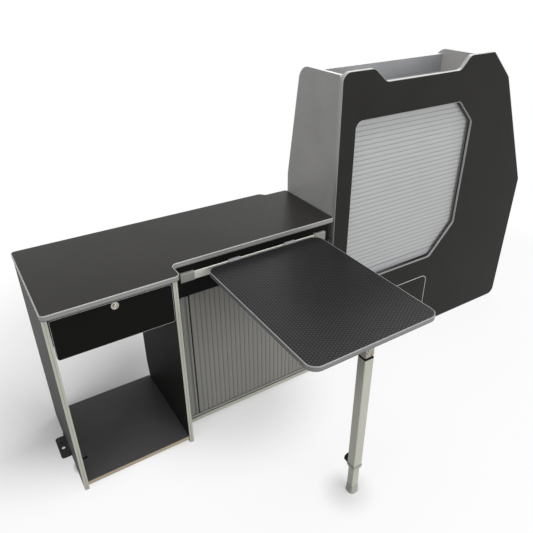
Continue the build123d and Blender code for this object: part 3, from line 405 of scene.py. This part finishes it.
def dress_boards():
    black, groove = tone(18, 18, 17), tone(16, 16, 15)
    paint(laminate("worktop laminate", tone(42, 41, 39), tone(35, 34, 33), 1, 0, 0.34, 0.14, 0.08),
          "worktop_board")
    paint(laminate("table laminate", tone(46, 46, 47), tone(22, 22, 23), 0, 1, 0.34, 0.12, 0.4),
          "table_board")
    paint(laminate("front laminate", tone(44, 43, 41), tone(35, 35, 34), 0, 2, 0.4, 0.08, 0.12),
          "tall_front_panel", "flap_panel")
    paint(laminate("drawer laminate", black, groove, 2, 0, 0.45, 0.05, 0.12), "drawer_front",
          "cupboard_fascia")
    paint(laminate("side laminate", tone(37, 36, 35), tone(30, 30, 29), 1, 2, 0.55, 0.05, 0.12),
          "divider_panel")
    paint(laminate("outer side laminate", tone(62, 61, 59), tone(53, 52, 51), 1, 2, 0.5, 0.06, 0.12),
          "left_side_panel")
    paint(raw_front_board("base board", tone(77, 77, 77), tone(72, 72, 72), tone(194, 181, 160),
                          tone(160, 139, 114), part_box("base_board")[0].y), "base_board")
    grey, grey_edge = tone(163, 162, 161), tone(204, 204, 202)
    paint(banded_board("grey side board", grey, grey_edge, 1, 2, 0), "tall_left_panel",
          "tall_right_panel")
    paint(banded_board("grey cross board", tone(150, 151, 154), grey_edge, 0, 2, 1), "tray_back")
    paint(banded_board("grey level board", grey, grey_edge, 0, 1, 2), "tray_floor")
    paint(plain_board("dark board", tone(50, 49, 48)), "cupboard_floor", "tall_shelf",
          "cupboard_top_board", "tall_floor_board")
    paint(plywood("birch plywood", tone(206, 180, 138), tone(168, 136, 96)), "drawer_sides",
          "drawer_back", "drawer_bottom")


def dress_edges():
    # the worktop's and table's edge strips carry painted shade low down and a painted shadow line
    for name, colour in (("worktop", tone(158, 158, 156)), ("table", tone(140, 140, 140))):
        low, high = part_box(name + "_edge_trim")
        paint(edging("silver edging of the " + name, colour, low.z, high.z), name + "_edge_trim")
    paint(edging("silver outline", tone(158, 158, 156)), "tall_front_edging")
    low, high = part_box("window_edging")
    # the second colour is painted shade on the rear part of the window's edge strip
    paint(lipped_edging("window edging", tone(168, 168, 167), tone(50, 50, 49), low.y, high.y),
          "window_edging")
    paint(edging("fine silver edging", tone(165, 165, 162)), "drawer_front_edging")
    paint(edging("grey edge band", tone(196, 196, 194)), "flap_edging")
    paint(pale_band("pale edge band", tone(192, 191, 179), tone(120, 120, 110)), "panel_edge_bands")


def dress_metal():
    zinc = drawn_metal("zinc steel", tone(190, 190, 192), 0, 0.35)
    paint(zinc, "drawer_runner_rails", "drawer_runner_slides", "lock_tongue", "leg_pin",
          "flap_hinge_fixed_leaves", "flap_hinge_moving_leaves", "flap_hinge_pins")
    paint(drawn_metal("satin nickel", tone(176, 173, 165), 1, 0.22, contrast=0.04), "lock_housing",
          "lock_button")
    paint(drawn_metal("rail aluminium", tone(192, 193, 183), 0, 0.42, 0.3), "rail_profile")
    leg = drawn_metal("leg aluminium", tone(188, 188, 177), 2, 0.45, 0.15, 0.05)
    paint(leg, "leg_upper_tube", "leg_lower_tube")
    paint(drawn_metal("bracket steel", tone(160, 158, 148), 2, 0.4, 0.5), "leg_bracket")


def dress_plastic():
    paint(moulded("black powder coat", tone(30, 30, 30), 0.5, 0.5, 0.3), "floor_bracket")
    paint(moulded("grey plastic", tone(132, 132, 128)), "rail_end_caps")
    paint(moulded("hook plastic", tone(132, 132, 133)), "hook_liners", "table_hooks")
    paint(moulded("guide plastic", tone(158, 158, 152)), "low_guide_bottom", "low_guide_top",
          "tall_shutter_guides")
    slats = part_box("low_shutter_slats")[0].x
    tall_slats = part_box("tall_shutter_slats")[0].z
    # the slats carry painted shade towards their joints and a painted highlight on their crowns
    paint(slat_profile("low shutter", tone(133, 132, 127), 0, slats), "low_shutter_slats")
    paint(slat_profile("low handle lath", tone(128, 128, 124), 0, slats), "low_shutter_handle")
    paint(slat_profile("tall shutter", tone(178, 179, 179), 2, tall_slats, 0.8),
          "tall_shutter_slats")
    paint(slat_profile("tall handle lath", tone(156, 157, 159), 2, tall_slats),
          "tall_shutter_handle")
    paint(cloth_sheet("backing sheet", tone(30, 30, 30)), "low_shutter_backing",
          "tall_shutter_backing")
    paint(moulded("leg plastic", tone(170, 169, 162)), "leg_foot")
    # the collar's upward faces carry painted shadow from the tube above
    paint(upward_shadowed("collar plastic", tone(176, 175, 169), tone(52, 52, 50)), "leg_collar")
    # the leg's hinge block, seen through the bracket's slots, gets the same near-black, which makes
    # the slots look dark
    paint(moulded("black plastic", tone(20, 20, 20), specular=0.2), "leg_clamp_knob", "flap_catch",
          "leg_hinge_block")


# ---------------------------------------------------------------- pieces made by hand
def open_piece(kind, **size):
    """Adds a basic form, moves its place into its mesh and opens it for editing."""
    bpy.ops.object.select_all(action="DESELECT")
    getattr(bpy.ops.mesh, "primitive_" + kind + "_add")(**size)
    bpy.ops.object.transform_apply(location=True, rotation=True, scale=True)
    bpy.ops.object.mode_set(mode="EDIT")
    return bpy.context.active_object


def pick(piece, test):
    """Selects the open piece's faces whose middle and normal pass the test."""
    bpy.ops.mesh.select_mode(type="FACE")
    bpy.ops.mesh.select_all(action="DESELECT")
    mesh = bmesh.from_edit_mesh(piece.data)
    for face in mesh.faces:
        if test(face.calc_center_median(), face.normal):
            face.select_set(True)
    bmesh.update_edit_mesh(piece.data)


def pick_points(piece, test):
    """Selects the open piece's points that pass the test."""
    bpy.ops.mesh.select_mode(type="VERT")
    bpy.ops.mesh.select_all(action="DESELECT")
    mesh = bmesh.from_edit_mesh(piece.data)
    for point in mesh.verts:
        if test(point.co):
            point.select_set(True)
    mesh.select_flush(True)
    bmesh.update_edit_mesh(piece.data)


def pull(along, narrower=1.0):
    """Extrudes the selected faces along Z and then narrows them."""
    bpy.ops.mesh.extrude_region_move(TRANSFORM_OT_translate={"value": (0, 0, along)})
    bpy.ops.transform.resize(value=(narrower, narrower, 1))


def close_piece(piece, name, material):
    """Merges the open piece's points, ends its editing and gives it a name and a material."""
    bpy.ops.mesh.select_all(action="SELECT")
    bpy.ops.mesh.remove_doubles(threshold=merge_gap)
    bpy.ops.mesh.normals_make_consistent(inside=False)
    bpy.ops.object.mode_set(mode="OBJECT")
    bpy.ops.object.shade_smooth_by_angle(angle=smooth_angle)
    piece.name = name
    piece.data.materials.append(material)
    return piece


def set_pieces(master, places, name, body, slot, *stood_for):
    """Joins copies of a piece, each at its place, into one piece; the first piece is used up."""
    bpy.ops.object.select_all(action="DESELECT")
    for matrix in places:
        copy = master.copy()
        copy.data = master.data.copy()
        copy.data.transform(matrix)
        bpy.context.scene.collection.objects.link(copy)
        copy.select_set(True)
        bpy.context.view_layer.objects.active = copy
    bpy.ops.object.join()
    joined = bpy.context.active_object
    bpy.data.objects.remove(master)
    joined.name = name
    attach(joined, body)
    if stood_for:
        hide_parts(*stood_for)


def loose_boxes(node_name):
    """Lowest and highest corner of each separate solid of a CAD node."""
    mesh = bmesh.new()
    mesh.from_mesh(nodes[node_name].data)
    bmesh.ops.remove_doubles(mesh, verts=mesh.verts, dist=merge_gap)
    left = set(mesh.verts)
    boxes = []
    while left:
        found = []
        waiting = [left.pop()]
        while waiting:
            point = waiting.pop()
            found.append(point.co)
            near = {edge.other_vert(point) for edge in point.link_edges} & left
            left -= near
            waiting.extend(near)
        boxes.append([Vector(outermost(point[axis] for point in found) for axis in range(3))
                      for outermost in (min, max)])
    mesh.free()
    return boxes


def screw_form(head_radius, length, material):
    """A pan head with a star recess at Z = 0, and its shank up along Z to the tip."""
    head_high, shank_radius, recess_deep, tip_short = 0.002, 0.002, 0.0012, 0.0001
    recess_radius = 0.55 * head_radius
    piece = open_piece("cylinder", vertices=24, radius=head_radius, depth=head_high,
                       end_fill_type="TRIFAN", location=(0, 0, head_high / 2))
    pick(piece, lambda middle, normal: normal.z < -0.9)
    bpy.ops.mesh.region_to_loop()
    bpy.ops.mesh.bevel(offset=0.3 * head_radius, segments=3, affect="EDGES")
    pick(piece, lambda middle, normal: normal.z < -0.99 and middle.z < merge_gap)
    bpy.ops.mesh.inset(thickness=0.7 * head_radius - recess_radius)
    pick_points(piece, lambda point: point.z < merge_gap
                and 0.3 * recess_radius < hypot(point.x, point.y) < 1.05 * recess_radius
                and cos(6 * atan2(point.y, point.x)) < -0.5)
    bpy.ops.transform.resize(value=(0.76, 0.76, 1), center_override=(0, 0, 0))
    pick(piece, lambda middle, normal: normal.z < -0.99
         and hypot(middle.x, middle.y) < 0.8 * recess_radius)
    pull(recess_deep, 0.8)
    pick(piece, lambda middle, normal: normal.z > 0.9 and middle.z > 0.9 * head_high
         and hypot(middle.x, middle.y) > 0.4 * head_radius)
    bpy.ops.mesh.inset(thickness=head_radius - shank_radius)
    pull(0.7 * (length - head_high))
    pull(0.3 * (length - head_high) - tip_short, 0.15)
    return close_piece(piece, "screw_form", material)


def dress_screws():
    """Star-headed screws, modelled once, stand where the CAD screws are; the bracket's are black."""
    bright = drawn_metal("zinc screw", tone(176, 176, 172), 2, 0.3, 0.8, 0.04)
    black = drawn_metal("black screw", tone(34, 34, 34), 2, 0.45, 0.3, 0.04)
    bracket_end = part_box("left_side_panel")[0].x
    turns = (Matrix.Rotation(pi / 2, 4, "Y"), Matrix.Rotation(-pi / 2, 4, "X"), Matrix.Identity(4))
    for node_name, body in (("carcass_screws", "cabinet"), ("table_screws", "table")):
        boxes = loose_boxes(node_name)
        size = sorted(boxes[0][1] - boxes[0][0])
        head_radius, length = size[0] / 2, size[2]
        places, black_places = [], []
        for low, high in boxes:
            middle, spans = (low + high) / 2, high - low
            axis = max(range(3), key=lambda way: spans[way])
            middle[axis] = low[axis]
            kept = black_places if low.x < bracket_end else places
            kept.append(Matrix.Translation(middle) @ turns[axis])
        form = screw_form(head_radius, length, bright)
        set_pieces(form, places, node_name + "_star_headed", body, "zinc_steel", node_name)
        if black_places:
            form = screw_form(head_radius, length, black)
            set_pieces(form, black_places, "bracket_screws_star_headed", body, "black_steel",
                       node_name)


def rivet_form(radius, high, material):
    """A domed rivet head with a dimple, which stands on Z = 0 and looks up."""
    piece = open_piece("cylinder", vertices=24, radius=radius, depth=high,
                       end_fill_type="TRIFAN", location=(0, 0, high / 2))
    pick(piece, lambda middle, normal: normal.z > 0.9)
    bpy.ops.mesh.region_to_loop()
    bpy.ops.mesh.bevel(offset=0.8 * high, segments=4, affect="EDGES")
    pick(piece, lambda middle, normal: normal.z > 0.99 and middle.z > 0.9 * high)
    bpy.ops.mesh.inset(thickness=0.3 * radius)
    pull(-0.3 * high, 0.8)
    return close_piece(piece, "rivet_form", material)


def dress_leg():
    """Copper rivets on the front of the leg bracket and a grey cap on the clamp knob."""
    copper = drawn_metal("copper rivet", tone(172, 120, 84), 2, 0.35, 0.7, 0.05)
    stop_reach = 0.0145          # from the pin's axis to the front of the bracket's stop
    rivet_spots = ((-0.010, 0.0562), (0.009, 0.0582))   # beside the pin, below the bracket's top
    bracket_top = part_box("leg_bracket")[1].z
    pin_low, pin_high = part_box("leg_pin")
    middle = (pin_low + pin_high) / 2
    turned = Matrix.Rotation(pi / 2, 4, "X")
    places = [Matrix.Translation((middle.x + beside, middle.y - stop_reach, bracket_top - below))
              @ turned for beside, below in rivet_spots]
    set_pieces(rivet_form(radius=0.0024, high=0.001, material=copper), places,
               "leg_bracket_rivets", "table", "leg_bracket_steel")
    knob_low, knob_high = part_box("leg_clamp_knob")
    middle = (knob_low + knob_high) / 2
    grey = moulded("knob cap plastic", tone(60, 60, 60), 0.4)
    outer_end = Matrix.Translation((middle.x, knob_high.y, middle.z))
    places = [outer_end @ Matrix.Rotation(-pi / 2, 4, "X")]
    set_pieces(rivet_form(radius=0.006, high=0.0012, material=grey), places, "clamp_knob_cap",
               "clamp_knob", "black_plastic")


def cut_copy(source, name, way, cut, low_side):
    """A copy of a CAD node's mesh with its points merged, cut square to an axis; one side is kept."""
    bpy.ops.object.select_all(action="DESELECT")
    piece = bpy.data.objects.new(name, nodes[source].data.copy())
    bpy.context.scene.collection.objects.link(piece)
    piece.select_set(True)
    bpy.context.view_layer.objects.active = piece
    bpy.ops.mesh.customdata_custom_splitnormals_clear()
    bpy.ops.object.mode_set(mode="EDIT")
    bpy.ops.mesh.select_all(action="SELECT")
    bpy.ops.mesh.remove_doubles(threshold=merge_gap)
    bpy.ops.mesh.select_all(action="SELECT")
    square = [1.0 if axis == way else 0.0 for axis in range(3)]
    bpy.ops.mesh.bisect(plane_co=[cut * part for part in square], plane_no=square, use_fill=True,
                        clear_inner=not low_side, clear_outer=low_side)
    bpy.ops.object.mode_set(mode="OBJECT")
    bpy.ops.object.shade_smooth_by_angle(angle=smooth_angle)
    return piece


def gather_shutter(joint, way):
    """Each deforming piece of a shutter is cut at the turn of its guide into a straight run and a
    turned end, both held by the cabinet, and the CAD piece is hidden.
    """
    found = next(row for row in frame["joints"] if row["name"] == joint)
    for row in found["deforming_nodes"]:
        source = row["node"]
        turn = row["fixed_end_" + "xyz"[way] + "_m"]
        straight = cut_copy(source, source + "_straight_run", way, turn, True)
        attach(straight, "cabinet")
        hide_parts(source)
        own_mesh(straight)
        turned = cut_copy(source, source + "_turned_end", way, turn, False)
        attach(turned, "cabinet")
        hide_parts(source)


def dress_low_shutter():
    """A woven strip closes the joint between the handle and the first slat from behind."""
    handle_low, handle_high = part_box("low_shutter_handle")
    sheet_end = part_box("low_shutter_backing")[0].x
    lap, thick, hem = 0.008, 0.0004, 0.001
    size = (sheet_end - handle_high.x + lap, thick, handle_high.z - handle_low.z)
    middle = Vector((sheet_end - size[0] / 2, handle_high.y + thick / 2,
                     (handle_low.z + handle_high.z) / 2))
    piece = open_piece("cube", size=1, location=middle, scale=size)
    pick(piece, lambda centre, normal: abs(normal.y) > 0.9)
    bpy.ops.mesh.inset(thickness=hem, use_individual=True)
    bpy.ops.mesh.subdivide(number_cuts=2)
    close_piece(piece, "low_shutter_joint_strip", cloth_sheet("joint strip cloth", tone(24, 24, 24)))
    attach(piece, "low_shutter")


# ---------------------------------------------------------------- camera, light and floor
white = (1, 1, 1, 1)
open_floor = 0.88            # how much of the floor's look is plain white in the open


def set_camera():
    """Standing in front of the drawer, looking right and down at the whole unit."""
    lens = bpy.data.cameras.new("camera")
    lens.lens = 36.61
    lens.sensor_width = 36.0
    lens.clip_start = 0.05
    lens.clip_end = 200
    camera = bpy.data.objects.new("camera", lens)
    bpy.context.scene.collection.objects.link(camera)
    stand = Vector((-0.10088, -1.31134, 1.53058))
    turn, dip, roll = radians(31.594), radians(30.192), radians(0.506)
    camera.matrix_world = (Matrix.Translation(corner + stand)
                           @ Matrix.Rotation(-turn, 4, "Z") @ Matrix.Rotation(pi / 2 - dip, 4, "X")
                           @ Matrix.Rotation(-roll, 4, "Z"))
    bpy.context.scene.camera = camera


def area_light(name, spot, target, size, power):
    """A soft light at a spot that looks at a target, both measured from the corner."""
    lamp = bpy.data.lights.new(name, "AREA")
    lamp.shape = "RECTANGLE"
    lamp.size, lamp.size_y = size
    lamp.energy = power
    light = bpy.data.objects.new(name, lamp)
    bpy.context.scene.collection.objects.link(light)
    light.location = corner + Vector(spot)
    away = light.location - (corner + Vector(target))
    light.rotation_euler = away.to_track_quat("Z", "Y").to_euler()


def seen_directly(tree):
    """1 for the rays that show the background: camera, glossy and transmission rays."""
    path = node(tree, "LightPath").outputs
    shiny = maths(tree, "MAXIMUM", path["Is Glossy Ray"], path["Is Transmission Ray"])
    return maths(tree, "MAXIMUM", path["Is Camera Ray"], shiny)


def set_studio():
    """A plain white background and four softboxes."""
    world = bpy.data.worlds.new("studio")
    world.use_nodes = True
    bpy.context.scene.world = world
    tree = world.node_tree
    tree.nodes.clear()
    fill, plain = [node(tree, "Background", {"Color": white, "Strength": strength}).outputs[0]
                   for strength in (0.38, 1.0)]
    choice = node(tree, "MixShader", {0: seen_directly(tree), 1: fill, 2: plain})
    out = node(tree, "OutputWorld")
    tree.links.new(choice.outputs[0], out.inputs[0])

    area_light("front softbox", (1.7, -3.2, 1.4), (0.9, 0.1, 0.5), (2.2, 1.6), 66)
    area_light("top softbox", (0.9, -0.2, 3.2), (0.9, 0.1, 0.6), (2.6, 1.6), 50)
    area_light("left softbox", (-1.6, -0.9, 2.4), (0.9, 0.2, 0.9), (1.2, 1.2), 14)
    area_light("rear softbox", (3.6, 2.2, 3.2), (0.9, -0.1, 0.6), (2.2, 2.2), 36)


def away_from(tree, x, y):
    """Distance along the floor from a point of it."""
    places = split(tree, place(tree))
    across = maths(tree, "SUBTRACT", places[0], x)
    along = maths(tree, "SUBTRACT", places[1], y)
    return maths(tree, "SQRT", maths(tree, "ADD", maths(tree, "MULTIPLY", across, across),
                                     maths(tree, "MULTIPLY", along, along)))


def set_floor():
    """A white floor that keeps the object's shadow and fades into the background further out; the
    shadow is kept fully at each spot and less and less from there to where the floor is clear."""
    bpy.ops.object.select_all(action="DESELECT")
    bpy.ops.mesh.primitive_plane_add(size=80, location=(0, 0, 0))
    floor = bpy.context.active_object
    floor.name = "floor"
    seen, bounced = tone(224, 224, 224), tone(126, 126, 126)
    material, tree, shader = begin("studio floor", seen, 0.8, specular=0.1)
    direct = seen_directly(tree)
    feed(tree, shader["Base Color"], mixed(tree, direct, bounced, seen))
    lit = tree.nodes["Principled BSDF"].outputs[0]
    glow = node(tree, "Emission", {"Color": white, "Strength": 1.0}).outputs[0]
    foot_low, foot_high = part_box("leg_foot")
    behind_cupboard = (corner.x + 0.05, corner.y + 0.68)
    beneath_worktop = (corner.x + 0.6, corner.y + 0.2)
    leg_foot = (foot_low.x, (foot_low.y + foot_high.y) / 2)
    pipe_slot = (corner.x + 0.035, corner.y + 0.113)
    share = open_floor
    for spot, near, clear, least, most in ((behind_cupboard, 0.3, 0.75, 0.0, open_floor),
                                           (beneath_worktop, 0.15, 0.5, 0.45, open_floor),
                                           (leg_foot, 0.01, 0.11, 0.4, open_floor),
                                           (pipe_slot, 0.03, 0.06, 0.0, 1.0)):
        open_here = step(tree, away_from(tree, *spot), near, clear)
        share = maths(tree, "MINIMUM", share, spread(tree, open_here, least, most))
    fade_from, fade_to = 0.9, 2.0
    faded = step(tree, away_from(tree, 0.0, 0.0), fade_from, fade_to)
    share = maths(tree, "MAXIMUM", share, faded)
    mix = node(tree, "MixShader", {0: maths(tree, "MULTIPLY", direct, share), 1: lit, 2: glow})
    tree.links.new(mix.outputs[0], tree.nodes["Material Output"].inputs[0])
    floor.data.materials.append(material)


dress_boards()
dress_edges()
dress_metal()
dress_plastic()
dress_screws()
dress_leg()
dress_low_shutter()
gather_shutter("low_shutter_slide", 0)
gather_shutter("tall_shutter_lift", 2)
set_camera()
set_studio()
set_floor()
bpy.context.scene.view_settings.view_transform = "Standard"
